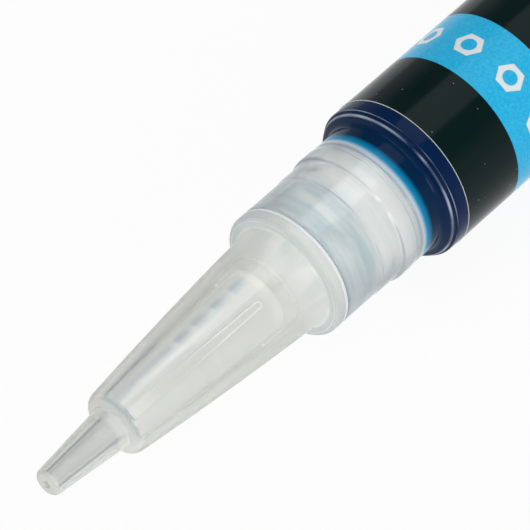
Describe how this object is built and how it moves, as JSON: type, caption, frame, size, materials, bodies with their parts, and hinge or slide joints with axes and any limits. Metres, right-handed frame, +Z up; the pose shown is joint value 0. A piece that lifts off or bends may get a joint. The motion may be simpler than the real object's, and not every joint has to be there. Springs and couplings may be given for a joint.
{
  "type": "tube of threadlocker",
  "caption": "Squeeze tube of threadlocking liquid with a wrap label, a plugged neck, a translucent press-in cone nozzle with a slender tip, and a pull-off cap that lies in front of it.",
  "frame": {"origin": "on the floor, under the middle of the tube and its cap as they lie in line", "axes": "+Z up; +X along the tube's axis, from the nozzle towards the bottle's base"},
  "size_m": [0.176, 0.017, 0.017],
  "materials": {
    "bottle_plastic": "natural translucent, satin",
    "label_film": "glossy printed film",
    "nozzle_plastic": "natural translucent, smooth",
    "core_plastic": "natural white, satin",
    "plug_plastic": "natural white, satin",
    "blue_filling": "deep blue liquid",
    "cap_plastic": "natural translucent, satin"
  },
  "bodies": {
    "tube": {"bottle": "bottle_plastic", "label": "label_film", "nozzle": "nozzle_plastic", "nozzle_core": "core_plastic", "neck_plug": "plug_plastic", "threadlocker_fill": "blue_filling"},
    "cap": {"overcap": "cap_plastic"}
  },
  "joints": [
    {"name": "cap_pull", "type": "slide", "parent": "tube", "child": "cap", "axis": [-1, 0, 0], "range_m": [-0.06181, 0]}
  ]
}
